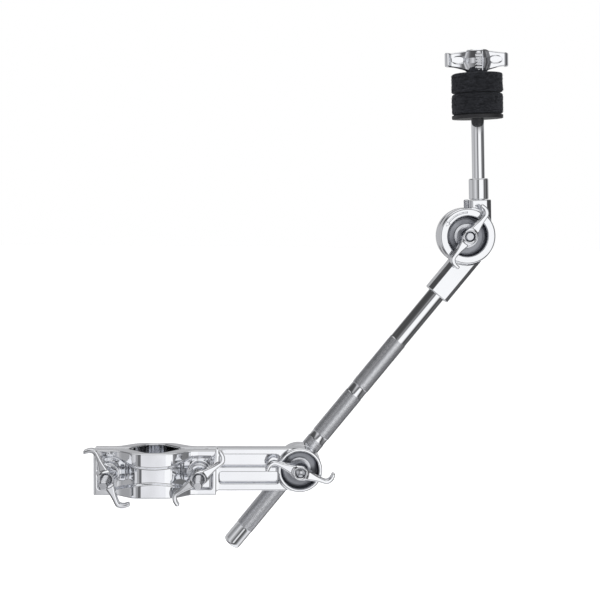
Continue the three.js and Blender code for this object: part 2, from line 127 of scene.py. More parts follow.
# ---------------------------------------------------------------- meshes
def add_piece(name, points, faces, place, material, body, nodes, normals=None):
    """One mesh object in metres, riding on its body and standing for its CAD nodes."""
    mesh = bpy.data.meshes.new(name)
    co = place.points(np.asarray(points, float)) * MM
    if isinstance(faces, np.ndarray):
        count = len(faces)
        width = faces.shape[1]
        mesh.vertices.add(len(co))
        mesh.vertices.foreach_set("co", co.astype(np.float32).ravel())
        mesh.loops.add(count * width)
        mesh.loops.foreach_set("vertex_index", faces.astype(np.int32).ravel())
        mesh.polygons.add(count)
        mesh.polygons.foreach_set("loop_start", np.arange(0, count * width, width, dtype=np.int32))
        mesh.polygons.foreach_set("loop_total", np.full(count, width, dtype=np.int32))
        mesh.update(calc_edges=True)
    else:
        mesh.from_pydata([tuple(c) for c in co], [], faces)
    mesh.validate()
    mesh.polygons.foreach_set("use_smooth", np.full(len(mesh.polygons), True))
    if normals is not None and len(normals) == len(mesh.vertices):
        mesh.normals_split_custom_set_from_vertices([tuple(n) for n in place.normals(normals)])
    obj = bpy.data.objects.new(name, mesh)
    bpy.context.scene.collection.objects.link(obj)
    obj.data.materials.append(material)
    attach(obj, body)
    if nodes:
        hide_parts(*nodes)
    return obj


def smin(a, b, k):
    h = np.clip(0.5 + 0.5 * (b - a) / k, 0, 1)
    return b + (a - b) * h - k * h * (1 - h)


def smax(a, b, k):
    return -smin(-a, -b, k)


def polygon(points, u, v):
    """Signed distance to a closed outline of (u, v) points."""
    points = np.asarray(points, float)
    shape = np.broadcast(u, v).shape
    best = np.full(shape, 1e18)
    sign = np.ones(shape)
    for i in range(len(points)):
        a, b = points[i], points[i - 1]
        e = b - a
        wu, wv = u - a[0], v - a[1]
        t = np.clip((wu * e[0] + wv * e[1]) / (e @ e), 0, 1)
        best = np.minimum(best, (wu - e[0] * t) ** 2 + (wv - e[1] * t) ** 2)
        c1, c2, c3 = wv >= 0, v < b[1], e[0] * wv > e[1] * wu
        same = (c1 & c2 & c3) | (~c1 & ~c2 & ~c3)
        sign = np.where(same, -sign, sign)
    return sign * np.sqrt(best)


def rounded(points, steps=6):
    """Outline points from [u, v, corner radius], each corner a smooth curve."""
    out = []
    n = len(points)
    for i in range(n):
        here = np.array(points[i][:2], float)
        r = points[i][2] if len(points[i]) > 2 else 0
        if r == 0:
            out.append(here)
            continue
        before = np.array(points[i - 1][:2], float) - here
        after = np.array(points[(i + 1) % n][:2], float) - here
        start = here + before / np.linalg.norm(before) * r
        end = here + after / np.linalg.norm(after) * r
        for t in np.linspace(0, 1, steps):
            out.append((1 - t) ** 2 * start + 2 * t * (1 - t) * here + t * t * end)
    return np.array(out)


def slab(v, low, high):
    return np.maximum(low - v, v - high)


CORNERS = np.array([[i, j, k] for i in (0, 1) for j in (0, 1) for k in (0, 1)])
EDGES = [
    (a, b)
    for a in range(8)
    for b in range(a + 1, 8)
    if np.abs(CORNERS[a] - CORNERS[b]).sum() == 1
]


def polygonise(distance, low, high, step):
    """The surface where distance(x, y, z) is 0, as points, quads and normals."""
    axes = [np.arange(a, b + step, step) for a, b in zip(low, high)]
    x, y, z = axes[0][:, None, None], axes[1][None, :, None], axes[2][None, None, :]
    field = np.broadcast_to(distance(x, y, z), [len(a) for a in axes]).astype(np.float32)
    inside = field < 0
    mixed = np.zeros([len(a) - 1 for a in axes], bool)
    first = inside[:-1, :-1, :-1]
    for i, j, k in CORNERS[1:]:
        corner = inside[
            i : i + mixed.shape[0], j : j + mixed.shape[1], k : k + mixed.shape[2]
        ]
        mixed |= corner != first
    cells = np.argwhere(mixed)
    number = np.full(mixed.shape, -1, np.int64)
    number[tuple(cells.T)] = np.arange(len(cells))
    values = [field[tuple((cells + c).T)] for c in CORNERS]
    total = np.zeros((len(cells), 3))
    count = np.zeros(len(cells))
    for a, b in EDGES:
        va, vb = values[a].astype(float), values[b].astype(float)
        crosses = (va < 0) != (vb < 0)
        t = np.where(crosses, va / np.where(crosses, va - vb, 1), 0)
        where = CORNERS[a] + t[:, None] * (CORNERS[b] - CORNERS[a])
        total += np.where(crosses[:, None], where, 0)
        count += crosses
    origin = np.array([a[0] for a in axes])
    points = origin + (cells + total / count[:, None]) * step
    reach = step * 0.2

    def gradient(p):
        here = distance(*p.T)
        parts = [distance(*(p + reach * d).T) - here for d in np.eye(3)]
        return here, np.stack(parts, axis=1) / reach

    d, g = gradient(points)
    for _ in range(2):
        move = g * (d / np.maximum((g * g).sum(axis=1), 0.25))[:, None]
        points = points - np.clip(move, -0.5 * step, 0.5 * step)
        d = distance(*points.T)
    g = gradient(points)[1]
    normals = g / np.maximum(np.linalg.norm(g, axis=1), 1e-9)[:, None]
    quads = []
    for axis in range(3):
        p, q = [a for a in range(3) if a != axis]
        lo = [slice(None)] * 3
        hi = [slice(None)] * 3
        lo[axis], hi[axis] = slice(None, -1), slice(1, None)
        crossing = np.argwhere(inside[tuple(lo)] != inside[tuple(hi)])
        keep = (crossing[:, p] > 0) & (crossing[:, q] > 0)
        keep &= crossing[:, p] < mixed.shape[p]
        keep &= crossing[:, q] < mixed.shape[q]
        crossing = crossing[keep]
        ring = []
        for dp, dq in ((-1, -1), (0, -1), (0, 0), (-1, 0)):
            cell = crossing.copy()
            cell[:, p] += dp
            cell[:, q] += dq
            ring.append(number[tuple(cell.T)])
        ring = np.stack(ring, axis=1)
        flip = inside[tuple(crossing.T)] != (axis == 1)
        ring[~flip] = ring[~flip][:, ::-1]
        quads.append(ring)
    return points, np.concatenate(quads), normals


def sculpt(name, distance, low, high, step, place, material, body, nodes):
    points, quads, normals = polygonise(distance, low, high, step)
    return add_piece(name, points, quads, place, material, body, nodes, normals)


def dull_floor_painted_shade(piece, place, centre, radius, front, back):
    """Gives the faces of a dish, between front and back along Y, a rougher plating whose darker colour is
    painted shade in the dish.
    """
    piece.data.materials.append(DISH_DULL_AND_SHADED)
    count = len(piece.data.polygons)
    middles = np.empty(count * 3)
    piece.data.polygons.foreach_get("center", middles)
    local = (middles.reshape(-1, 3) / MM - place.at) @ place.turn - np.array(centre)
    distance = np.hypot(local[:, 0], local[:, 2])
    inside = (distance < radius) & (local[:, 1] > front) & (local[:, 1] < back)
    piece.data.polygons.foreach_set("material_index", inside.astype(np.int32))


def lathe_grid(profile, around, offset=None):
    """Rows of a profile of (radius, z) turned about Z. offset(angle, z, r) is added to r."""
    profile = np.asarray(profile, float)
    angle = np.linspace(0, 2 * math.pi, around, endpoint=False)
    r = profile[:, 0][:, None] + np.zeros(around)[None, :]
    z = profile[:, 1][:, None] + np.zeros(around)[None, :]
    if offset is not None:
        r = r + offset(angle[None, :] + 0 * r, z, r)
    pts = np.stack([r * np.cos(angle), r * np.sin(angle), z], axis=2).reshape(-1, 3)
    rows = len(profile)
    i, j = np.meshgrid(np.arange(rows - 1), np.arange(around), indexing="ij")
    k = (j + 1) % around
    quads = np.stack(
        [i * around + j, i * around + k, (i + 1) * around + k, (i + 1) * around + j], axis=2
    ).reshape(-1, 4)
    return pts, quads


def lathe(name, profile, around, place, material, body, nodes, offset=None, sharp=35):
    """A turned piece. A profile that starts and ends off the axis is closed on itself."""
    profile = [tuple(p) for p in profile]
    closed = profile[0][0] > 1e-6
    pts, quads = lathe_grid(profile, around, offset)
    faces = [tuple(q) for q in quads]
    if not closed:
        # the ends on the axis become one point each
        pts = list(map(tuple, pts))
        rows = len(profile)
        low, high = len(pts), len(pts) + 1
        pts += [(0, 0, profile[0][1]), (0, 0, profile[-1][1])]
        body_faces = [f for f in faces if min(f) >= around and max(f) < (rows - 1) * around]
        caps = []
        for j in range(around):
            k = (j + 1) % around
            caps.append((low, around + k, around + j))
            caps.append((high, (rows - 2) * around + j, (rows - 2) * around + k))
        faces = body_faces + caps
        keep = sorted({v for f in faces for v in f})
        index = {v: i for i, v in enumerate(keep)}
        pts = np.array([pts[v] for v in keep])
        faces = [tuple(index[v] for v in f) for f in faces]
    obj = add_piece(name, pts, faces, place, material, body, nodes)
    obj.data.set_sharp_from_angle(angle=math.radians(sharp))
    return obj


def eased(profile, radius=0.25, steps=3):
    """A profile with its corners rounded, ends kept."""
    out = [np.array(profile[0], float)]
    for i in range(1, len(profile) - 1):
        here = np.array(profile[i], float)
        before = np.array(profile[i - 1], float) - here
        after = np.array(profile[i + 1], float) - here
        lb, la = np.linalg.norm(before), np.linalg.norm(after)
        if min(lb, la) < 1e-6:
            continue
        r = min(radius, lb * 0.45, la * 0.45)
        start, end = here + before / lb * r, here + after / la * r
        for t in np.linspace(0, 1, steps + 1):
            out.append((1 - t) ** 2 * start + 2 * t * (1 - t) * here + t * t * end)
    out.append(np.array(profile[-1], float))
    return [tuple(p) for p in out]


def threaded(low, high, radius, pitch, depth, around=40):
    """A thread's profile rows and the radius change that cuts its groove."""
    rows = int((high - low) / pitch * 12)
    zs = np.linspace(low, high, rows)

    def cut(angle, z, r):
        phase = (z / pitch - angle / (2 * math.pi)) % 1.0
        groove = np.clip(1 - np.abs(phase - 0.5) * 2.6, 0, 1)
        fade = np.clip((z - low) / pitch, 0, 1) * np.clip((high - z) / pitch, 0, 1)
        inside = (z >= low) & (z <= high) & (r > radius - 0.05)
        return np.where(inside, -depth * groove * fade, 0)

    return [(radius, z) for z in zs], cut


# ---------------------------------------------------------------- materials
def node_material(name):
    material = bpy.data.materials.new(name)
    material.use_nodes = True
    tree = material.node_tree
    shader = tree.nodes["Principled BSDF"]
    return material, tree, shader


def chrome(name, colour, rough, spread, wave, wave_scale):
    """Polished plate: faint cloudiness in the roughness, fine wiping marks and slow waviness."""
    material, tree, shader = node_material(name)
    nodes, links = tree.nodes, tree.links
    shader.inputs["Metallic"].default_value = 1.0
    coords = nodes.new("ShaderNodeTexCoord")
    cloud = nodes.new("ShaderNodeTexNoise")
    cloud.inputs["Scale"].default_value = 90.0
    cloud.inputs["Detail"].default_value = 6.0
    links.new(coords.outputs["Object"], cloud.inputs["Vector"])
    ramp = nodes.new("ShaderNodeMapRange")
    ramp.inputs["From Min"].default_value = 0.35
    ramp.inputs["From Max"].default_value = 0.7
    ramp.inputs["To Min"].default_value = rough
    ramp.inputs["To Max"].default_value = rough + spread
    links.new(cloud.outputs["Fac"], ramp.inputs["Value"])
    links.new(ramp.outputs["Result"], shader.inputs["Roughness"])
    tint = nodes.new("ShaderNodeTexNoise")
    tint.inputs["Scale"].default_value = 35.0
    tint.inputs["Detail"].default_value = 3.0
    links.new(coords.outputs["Object"], tint.inputs["Vector"])
    mix = nodes.new("ShaderNodeMix")
    mix.data_type = "RGBA"
    mix.inputs["A"].default_value = (*[c * 0.93 for c in colour], 1)
    mix.inputs["B"].default_value = (*colour, 1)
    links.new(tint.outputs["Fac"], mix.inputs["Factor"])
    links.new(mix.outputs["Result"], shader.inputs["Base Color"])
    slow = nodes.new("ShaderNodeTexNoise")
    slow.inputs["Scale"].default_value = wave_scale
    slow.inputs["Detail"].default_value = 1.0
    links.new(coords.outputs["Object"], slow.inputs["Vector"])
    marks = nodes.new("ShaderNodeTexNoise")
    marks.inputs["Scale"].default_value = 700.0
    marks.inputs["Detail"].default_value = 4.0
    links.new(coords.outputs["Object"], marks.inputs["Vector"])
    bump = nodes.new("ShaderNodeBump")
    bump.inputs["Strength"].default_value = wave
    bump.inputs["Distance"].default_value = 0.0006
    links.new(slow.outputs["Fac"], bump.inputs["Height"])
    fine = nodes.new("ShaderNodeBump")
    fine.inputs["Strength"].default_value = 0.035
    fine.inputs["Distance"].default_value = 0.00004
    links.new(marks.outputs["Fac"], fine.inputs["Height"])
    links.new(bump.outputs["Normal"], fine.inputs["Normal"])
    links.new(fine.outputs["Normal"], shader.inputs["Normal"])
    return material


def felt_material():
    material, tree, shader = node_material("felt_black")
    nodes, links = tree.nodes, tree.links
    shader.inputs["Roughness"].default_value = 1.0
    shader.inputs["Specular IOR Level"].default_value = 0.15
    shader.inputs["Sheen Weight"].default_value = 0.12
    shader.inputs["Sheen Roughness"].default_value = 0.5
    shader.inputs["Sheen Tint"].default_value = (0.5, 0.52, 0.58, 1)
    coords = nodes.new("ShaderNodeTexCoord")
    stretch = nodes.new("ShaderNodeMapping")
    stretch.inputs["Scale"].default_value = (0.5, 0.5, 2.6)
    links.new(coords.outputs["Object"], stretch.inputs["Vector"])
    fibre = nodes.new("ShaderNodeTexNoise")
    fibre.inputs["Scale"].default_value = 420.0
    fibre.inputs["Detail"].default_value = 8.0
    fibre.inputs["Roughness"].default_value = 0.7
    fibre.inputs["Distortion"].default_value = 1.4
    links.new(stretch.outputs["Vector"], fibre.inputs["Vector"])
    ramp = nodes.new("ShaderNodeValToRGB")
    ramp.color_ramp.elements[0].position = 0.34
    ramp.color_ramp.elements[0].color = (0.002, 0.002, 0.0025, 1)
    ramp.color_ramp.elements[1].position = 0.72
    ramp.color_ramp.elements[1].color = (0.034, 0.036, 0.042, 1)
    links.new(fibre.outputs["Fac"], ramp.inputs["Fac"])
    links.new(ramp.outputs["Color"], shader.inputs["Base Color"])
    bump = nodes.new("ShaderNodeBump")
    bump.inputs["Strength"].default_value = 0.8
    bump.inputs["Distance"].default_value = 0.0006
    links.new(fibre.outputs["Fac"], bump.inputs["Height"])
    links.new(bump.outputs["Normal"], shader.inputs["Normal"])
    return material


def plastic_material():
    material, tree, shader = node_material("nylon_black")
    nodes, links = tree.nodes, tree.links
    shader.inputs["Base Color"].default_value = (0.012, 0.012, 0.014, 1)
    coords = nodes.new("ShaderNodeTexCoord")
    grain = nodes.new("ShaderNodeTexNoise")
    grain.inputs["Scale"].default_value = 900.0
    grain.inputs["Detail"].default_value = 3.0
    links.new(coords.outputs["Object"], grain.inputs["Vector"])
    ramp = nodes.new("ShaderNodeMapRange")
    ramp.inputs["To Min"].default_value = 0.36
    ramp.inputs["To Max"].default_value = 0.58
    links.new(grain.outputs["Fac"], ramp.inputs["Value"])
    links.new(ramp.outputs["Result"], shader.inputs["Roughness"])
    bump = nodes.new("ShaderNodeBump")
    bump.inputs["Strength"].default_value = 0.25
    bump.inputs["Distance"].default_value = 0.00008
    links.new(grain.outputs["Fac"], bump.inputs["Height"])
    links.new(bump.outputs["Normal"], shader.inputs["Normal"])
    return material


CAST = chrome("cast_chrome", (0.86, 0.87, 0.895), 0.035, 0.07, 0.16, 55.0)
TUBE = chrome("tube_chrome", (0.88, 0.89, 0.91), 0.03, 0.05, 0.04, 30.0)
KNURLED = chrome("knurled_chrome", (0.74, 0.75, 0.78), 0.1, 0.1, 0.05, 60.0)
# dish floors: rougher plating, with a darker colour that is painted shade in the recesses
DISH_DULL_AND_SHADED = chrome("dish_chrome_painted_shade", (0.34, 0.35, 0.38), 0.3, 0.16, 0.1, 60.0)
ZINC = chrome("zinc_plate", (0.66, 0.67, 0.7), 0.16, 0.14, 0.08, 120.0)
FELT = felt_material()
NYLON = plastic_material()

# ---------------------------------------------------------------- camera, light, floor
CAMERA_AT = (0.0496, -0.7717, 0.182)
CAMERA_YAW, CAMERA_PITCH, CAMERA_ROLL = 3.23, 5.17, 0.72

camera = bpy.data.objects.new("camera", bpy.data.cameras.new("camera"))
camera.data.sensor_width = 36.0
camera.data.lens = 72.0
camera.data.clip_start = 0.02
camera.data.clip_end = 50.0
camera.location = CAMERA_AT
camera.rotation_euler = (
    Matrix.Rotation(math.radians(-CAMERA_YAW), 3, "Z")
    @ Matrix.Rotation(math.radians(90 - CAMERA_PITCH), 3, "X")
    @ Matrix.Rotation(math.radians(CAMERA_ROLL), 3, "Z")
).to_euler()
bpy.context.scene.collection.objects.link(camera)
bpy.context.scene.camera = camera
bpy.context.scene.view_settings.view_transform = "Standard"


def ramp_over(nodes, stops):
    """A colour ramp of greys through (position, value) stops."""
    node = nodes.new("ShaderNodeValToRGB")
    elements = node.color_ramp.elements
    elements[0].position, elements[1].position = stops[0][0], stops[-1][0]
    for position, _ in stops[1:-1]:
        elements.new(position)
    for element, (position, value) in zip(elements, stops):
        element.color = (value, value, min(value * 1.02, 1), 1)
    return node


AROUND = [
    (-180, 0.42), (-132, 0.5), (-105, 0.54), (-84, 0.34), (-64, 0.5), (-46, 0.7), (-30, 0.4),
    (-17, 0.14), (-10, 0.14), (-3, 0.9), (4, 1.0), (38, 1.0), (46, 0.6), (55, 0.1), (66, 0.16),
    (78, 0.2), (90, 0.06), (106, 0.06), (128, 0.42), (150, 0.55), (180, 0.42),
]
UPWARD = [
    (-1, 0.9), (-0.82, 0.85), (-0.7, 0.2), (-0.5, 0.04), (-0.36, 0.5), (0.3, 0.5), (0.42, 0.1),
    (0.66, 0.06), (0.74, 0.4), (0.8, 1.0), (1, 1.0),
]
LEVEL = [(-1, 1), (-0.5, 1), (-0.3, 0), (0.25, 0), (0.48, 1), (1, 1)]


def studio_world():
    """A white light tent with soft dark gaps, which is what polished chrome mirrors."""
    world = bpy.data.worlds.new("studio")
    bpy.context.scene.world = world
    world.use_nodes = True
    nodes, links = world.node_tree.nodes, world.node_tree.links
    nodes.clear()
    out = nodes.new("ShaderNodeOutputWorld")
    coords = nodes.new("ShaderNodeTexCoord")
    split = nodes.new("ShaderNodeSeparateXYZ")
    links.new(coords.outputs["Generated"], split.inputs["Vector"])
    back = nodes.new("ShaderNodeMath")
    back.operation = "MULTIPLY"
    back.inputs[1].default_value = -1.0
    links.new(split.outputs["Y"], back.inputs[0])
    angle = nodes.new("ShaderNodeMath")
    angle.operation = "ARCTAN2"
    links.new(split.outputs["X"], angle.inputs[0])
    links.new(back.outputs[0], angle.inputs[1])
    turn = nodes.new("ShaderNodeMapRange")
    turn.inputs["From Min"].default_value = -math.pi
    turn.inputs["From Max"].default_value = math.pi
    links.new(angle.outputs[0], turn.inputs["Value"])
    lift = nodes.new("ShaderNodeMapRange")
    lift.inputs["From Min"].default_value = -1.0
    lift.inputs["From Max"].default_value = 1.0
    links.new(split.outputs["Z"], lift.inputs["Value"])
    around = ramp_over(nodes, [((a + 180) / 360, v) for a, v in AROUND])
    upward = ramp_over(nodes, [((z + 1) / 2, v) for z, v in UPWARD])
    level = ramp_over(nodes, [((z + 1) / 2, v) for z, v in LEVEL])
    links.new(turn.outputs["Result"], around.inputs["Fac"])
    links.new(lift.outputs["Result"], upward.inputs["Fac"])
    links.new(lift.outputs["Result"], level.inputs["Fac"])
    blend = nodes.new("ShaderNodeMix")
    blend.data_type = "RGBA"
    links.new(level.outputs["Color"], blend.inputs["Factor"])
    links.new(around.outputs["Color"], blend.inputs["A"])
    links.new(upward.outputs["Color"], blend.inputs["B"])
    tent = nodes.new("ShaderNodeBackground")
    tent.inputs["Strength"].default_value = 1.12
    links.new(blend.outputs["Result"], tent.inputs["Color"])
    plain = nodes.new("ShaderNodeBackground")
    plain.inputs["Color"].default_value = (1, 1, 1, 1)
    plain.inputs["Strength"].default_value = 1.0
    path = nodes.new("ShaderNodeLightPath")
    pick = nodes.new("ShaderNodeMixShader")
    links.new(path.outputs["Is Camera Ray"], pick.inputs["Fac"])
    links.new(tent.outputs[0], pick.inputs[1])
    links.new(plain.outputs[0], pick.inputs[2])
    links.new(pick.outputs[0], out.inputs["Surface"])


studio_world()


def soft_light(name, size, power, at, aim):
    data = bpy.data.lights.new(name, "AREA")
    data.shape = "RECTANGLE"
    data.size, data.size_y = size
    data.energy = power
    light = bpy.data.objects.new(name, data)
    light.location = at
    light.rotation_euler = (Vector(aim) - Vector(at)).to_track_quat("-Z", "Y").to_euler()
    light.visible_glossy = False
    bpy.context.scene.collection.objects.link(light)


soft_light("light_top", (1.6, 1.2), 14.0, (0.1, -0.2, 1.6), (0.1, 0, 0.1))
soft_light("light_left", (0.5, 1.4), 7.0, (-1.3, -0.7, 0.5), (0.1, 0, 0.1))
soft_light("light_right", (0.3, 1.4), 5.0, (1.3, -0.9, 0.5), (0.1, 0, 0.1))

FLOOR_Z = -0.42
FLOOR_HALF = 12
floor_mesh = bpy.data.meshes.new("floor")
floor_mesh.from_pydata(
    [
        (-FLOOR_HALF, -FLOOR_HALF, FLOOR_Z), (FLOOR_HALF, -FLOOR_HALF, FLOOR_Z),
        (FLOOR_HALF, FLOOR_HALF, FLOOR_Z), (-FLOOR_HALF, FLOOR_HALF, FLOOR_Z),
    ],
    [],
    [(0, 1, 2, 3)],
)
floor = bpy.data.objects.new("floor", floor_mesh)
bpy.context.scene.collection.objects.link(floor)
floor_look, _, floor_shader = node_material("floor_white")
floor_shader.inputs["Base Color"].default_value = (0.96, 0.96, 0.96, 1)
floor_shader.inputs["Roughness"].default_value = 0.9
floor_shader.inputs["Specular IOR Level"].default_value = 0.0
floor_shader.inputs["Emission Color"].default_value = (1, 1, 1, 1)
floor_shader.inputs["Emission Strength"].default_value = 0.5
floor.data.materials.append(floor_look)
floor.visible_glossy = False


# ---------------------------------------------------------------- clamp
def jaw_outline(side):
    mouth = TUBE_WALL - JAW_PARTING
    ledge = TUBE_WALL - TUBE_FLOOR
    half = [
        (JAW_LEFT, JAW_PARTING, 0.3), (-mouth, JAW_PARTING, 2), (-ledge, TUBE_FLOOR, 3),
        (ledge, TUBE_FLOOR, 3), (mouth, JAW_PARTING, 2), (JAW_RIGHT, JAW_PARTING, 0.3),
        (JAW_RIGHT, JAW_FLAT, 1.2), (JAW_SLOPE_FOOT, JAW_FLAT, 4), (JAW_CROWN_HALF_WIDTH, JAW_CROWN, 4),
        (-JAW_CROWN_HALF_WIDTH, JAW_CROWN, 4), (-JAW_SLOPE_FOOT, JAW_FLAT, 4),
        (JAW_LEFT, JAW_FLAT, 1.2),
    ]
    return rounded([(x, side * y, r) for x, y, r in half])


FRONT_OUTLINE = jaw_outline(-1)
REAR_OUTLINE = jaw_outline(1)


def jaw_height(z):
    return np.abs(z) - JAW_HALF_HEIGHT


def bore_y(x, y, z, at_x, at_z, radius):
    return np.sqrt((x - at_x) ** 2 + (z - at_z) ** 2) - radius + 0 * y


def square_y(x, z, at_x, half):
    return np.maximum(np.abs(x - at_x), np.abs(z)) - half


def clamp_arm_distance(x, y, z):
    jaw = smax(polygon(REAR_OUTLINE, x, y), jaw_height(z), 1.0)
    web = smax(slab(x, 34, 96), slab(z, -ARM_HALF_HEIGHT, ARM_HALF_HEIGHT), 1.0)
    web = smax(web, slab(y, ARM_FRONT, ARM_BACK), 0.9)
    body = smin(jaw, web, 1.4)
    radius = np.sqrt((x - PIVOT_X) ** 2 + z**2)
    pad = smax(radius - PAD_RADIUS, slab(y, PAD_FRONT, ARM_BACK), 1.1)
    body = smin(body, pad, 1.2)
    for low, high in POCKETS:
        outline = rounded([(41.5, low, 2.4), (81, low, 2.4), (81, high, 2.4), (41.5, high, 2.4)])
        pocket = smax(polygon(outline, x, z), slab(y, -5, POCKET_FLOOR), 1.0)
        body = smax(body, -pocket, 0.5)
    dish = smax(radius - DISH_RADIUS, slab(y, -9, DISH_FLOOR), 3.0)
    body = smax(body, -dish, 0.9)
    body = smax(body, -(radius - BOLT_HOLE + 0 * y), 0.4)
    for at in (-JAW_BOLT_X, JAW_BOLT_X):
        body = smax(body, -bore_y(x, y, z, at, 0, BOLT_HOLE), 0.4)
        seat = smax(bore_y(x, y, z, at, 0, BOSS_RADIUS), slab(y, JAW_FLAT, 30), 0.5)
        body = smax(body, -seat, 0.5)
        square = np.maximum(square_y(x, z, at, SQUARE_HALF), slab(y, 3.9, 30))
        body = smax(body, -square, 0.3)
    return body


arm = sculpt("arm_casting", clamp_arm_distance, (-41, -3, -17), (112, 20, 17), 0.42, WORLD, CAST,
       "clamp", ["clamp_arm"])
# the pivot dish's floor: rougher plating and painted shade
dull_floor_painted_shade(arm, WORLD, (PIVOT_X, 0, 0), 12.3, 0.8, 8.0)

HOURGLASS = rounded([
    (JAW_LEFT + 3, -10.6, 2), (-25, -10.6, 3), (-12, -6, 4), (0, -4.8, 5), (12, -6, 4),
    (25, -10.6, 3), (JAW_RIGHT - 3, -10.6, 2), (JAW_RIGHT - 3, 10.6, 2), (25, 10.6, 3),
    (12, 6, 4), (0, 4.8, 5), (-12, 6, 4), (-25, 10.6, 3), (JAW_LEFT + 3, 10.6, 2),
])
JAW_WALL = rounded([
    (-60, 9), (-60, -5), (-23.2, -5, 4), (-11.4, -JAW_GROOVE_FLOOR, 4),
    (11.4, -JAW_GROOVE_FLOOR, 4), (23.2, -5, 4), (60, -5), (60, 9),
])


def front_jaw_distance(x, y, z):
    body = smax(polygon(FRONT_OUTLINE, x, y), jaw_height(z), 1.0)
    recess = smax(polygon(HOURGLASS, x, z), -polygon(JAW_WALL, x, y), 1.6)
    body = smax(body, -recess, 1.1)
    for at in (-JAW_BOLT_X, JAW_BOLT_X):
        boss = smax(bore_y(x, y, z, at, 0, BOSS_RADIUS), slab(y, -BOSS_FRONT, -4), 0.7)
        body = smin(body, boss, 1.2)
    for at in (-JAW_BOLT_X, JAW_BOLT_X):
        body = smax(body, -bore_y(x, y, z, at, 0, BOLT_HOLE), 0.4)
    return body


sculpt("jaw_casting", front_jaw_distance, (-41, -19.5, -17), (42, 0.5, 17), 0.36, WORLD, CAST,
       "jaw", ["front_jaw"])


# ---------------------------------------------------------------- wing nuts
WING_PLAN = rounded([
    (-4, 3.4), (5, 3.1, 1.5), (12, 1.65, 2.5), (17.6, 1.35, 1.5), (19.3, 3.6, 1.2),
    (19.6, 7.4, 1.0), (22, 7.1, 1.1), (21.9, 2.2, 2), (19.4, -1.3, 2), (12, -1.65, 2.5),
    (5, -3.1, 1.5), (-4, -3.4),
])


def wing_nut_distance(size):
    """The distance to a wing nut that stands along +Z on its base, its wings along X."""
    bore, height, reach = size["bore"], size["height"], size["reach"]
    end, root = size["end"], size["root"]
    side = rounded([
        (-4, root[0]), (5, root[0], 1.5), (reach, end[0], 3), (26, end[0]), (26, end[1]),
        (18, end[1], 3), (5, root[1], 1.5), (-4, root[1]),
    ])
    hub_outline = np.array([
        (-9, 0), (size["foot"], 0), (size["waist"], height * 0.4),
        (size["waist"] - 0.3, height * 0.62), (size["tip"], height), (-9, height),
    ])
    middle = (end[0] + end[1]) / 2

    def distance(x, y, z):
        r = np.sqrt(x * x + y * y)
        hub = polygon(hub_outline, r, z)
        body = smax(hub, slab(z, 0.0, height), 1.2)
        for s in (1, -1):
            wing = smax(polygon(WING_PLAN, s * x, s * y), polygon(side, s * x, z), 1.1)
            tall = 0.27 * (end[1] - end[0])
            dent = np.sqrt(((s * x - 12.3) / 4.4) ** 2 + ((z - middle) / tall) ** 2)
            dent = (dent - 1) * 2.0
            wing = smax(wing, -smax(dent, 1.25 - np.abs(y), 0.5), 0.5)
            body = smin(body, wing, 1.5)
        if size["ribbed"]:
            groove = smax(np.abs(x) - 2.1, 6.9 - np.abs(y), 0.5)
            rib = np.abs(((z + 0.4) % 1.9) - 0.95) - 0.5
            body = smax(body, -smax(groove, -rib, 0.4), 0.4)
            body = smax(body, -smax(np.abs(x - 2.6) - 0.35, 6.2 - np.abs(y), 0.3), 0.3)
        body = smax(body, -(r - bore + 0 * z), 0.3)
        mouth = r - bore - np.maximum(0, z - height + 0.9) - np.maximum(0, 0.9 - z)
        return smax(body, -mouth, 0.3)

    return distance


BOLT_NUT = {
    "bore": 3.25, "foot": 6.2, "waist": 6.0, "tip": 4.5, "height": 14.2, "end": (6.8, 12.4),
    "root": (2.4, 12.9), "reach": 11, "ribbed": False,
}
CYMBAL_NUT = {
    "bore": 4.2, "foot": 6.4, "waist": 8.2, "tip": 6.4, "height": 15.0, "end": (4.0, 13.0),
    "root": (1.0, 14.6), "reach": 16, "ribbed": True,
}

bolt_nut = polygonise(wing_nut_distance(BOLT_NUT), (-23.5, -9, -0.8), (23.5, 9, 15), 0.27)
cymbal_nut = polygonise(wing_nut_distance(CYMBAL_NUT), (-23.5, -9.2, -0.8), (23.5, 9.2, 15.8), 0.24)


def wing_nut(name, shape, place, turn, body, node):
    points, quads, normals = shape
    add_piece(name, points, quads, place.of(Place(turn_z(turn))), CAST, body,
              [node], normals)


wing_nut("wing_nut_jaw_left", bolt_nut, Place(FRONTWARD, (-JAW_BOLT_X, JAW_NUT_BASE, 0)), 112,
         "jaw_nut_left", "jaw_wing_nut_left")
wing_nut("wing_nut_jaw_right", bolt_nut, Place(FRONTWARD, (JAW_BOLT_X, JAW_NUT_BASE, 0)), 35,
         "jaw_nut_right", "jaw_wing_nut_right")
wing_nut("wing_nut_pivot", bolt_nut, Place(FRONTWARD, (PIVOT_X, PIVOT_NUT_BASE, 0)), 159, "pivot_nut",
         "pivot_wing_nut")
wing_nut("wing_nut_tilter", bolt_nut, TILTER.of(Place(FRONTWARD, (0, TILTER_NUT_BASE, 0))),
         53 + 90 - ROD_ANGLE, "tilter_nut", "tilter_wing_nut")
wing_nut("wing_nut_cymbal", cymbal_nut, POST.of(Place(at=(0, 0, CYMBAL_NUT_BASE))), 0, "cymbal_nut",
         "cymbal_wing_nut")


